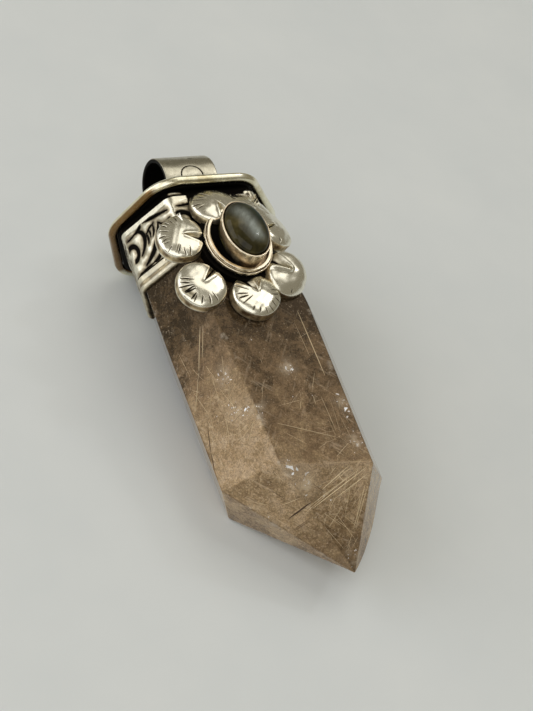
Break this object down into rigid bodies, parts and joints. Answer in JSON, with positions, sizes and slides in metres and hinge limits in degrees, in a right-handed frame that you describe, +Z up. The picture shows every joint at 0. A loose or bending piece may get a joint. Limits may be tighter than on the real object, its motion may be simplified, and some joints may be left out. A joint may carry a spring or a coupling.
{
  "type": "quartz pendant",
  "caption": "Smoky rutilated quartz point in an ornamented silver cap with a wire rim, strap bail and a flower that carries an oval cabochon.",
  "frame": {"origin": "on the surface that it lies on, under the middle of its box", "axes": "+X across the pendant, +Y along it from the point toward the bail, +Z up, out of the flower's face"},
  "size_m": [0.0226, 0.0542, 0.0218],
  "materials": {
    "quartz": "polished smoky quartz with fine rutile needles",
    "cap_silver": "cast silver with blackened recesses",
    "rim_brass": "polished pale brass wire",
    "bail_silver": "satin silver strap, blackened inside",
    "flower_silver": "engraved bright silver petals, blackened between",
    "bezel_silver": "bright smooth silver",
    "labradorite": "polished dark grey-green stone with a blue-grey sheen"
  },
  "bodies": {
    "root": {"crystal": "quartz", "cap": "cap_silver", "rim_wire": "rim_brass", "bail": "bail_silver", "flower": "flower_silver", "bezel": "bezel_silver", "cabochon": "labradorite"}
  },
  "joints": []
}
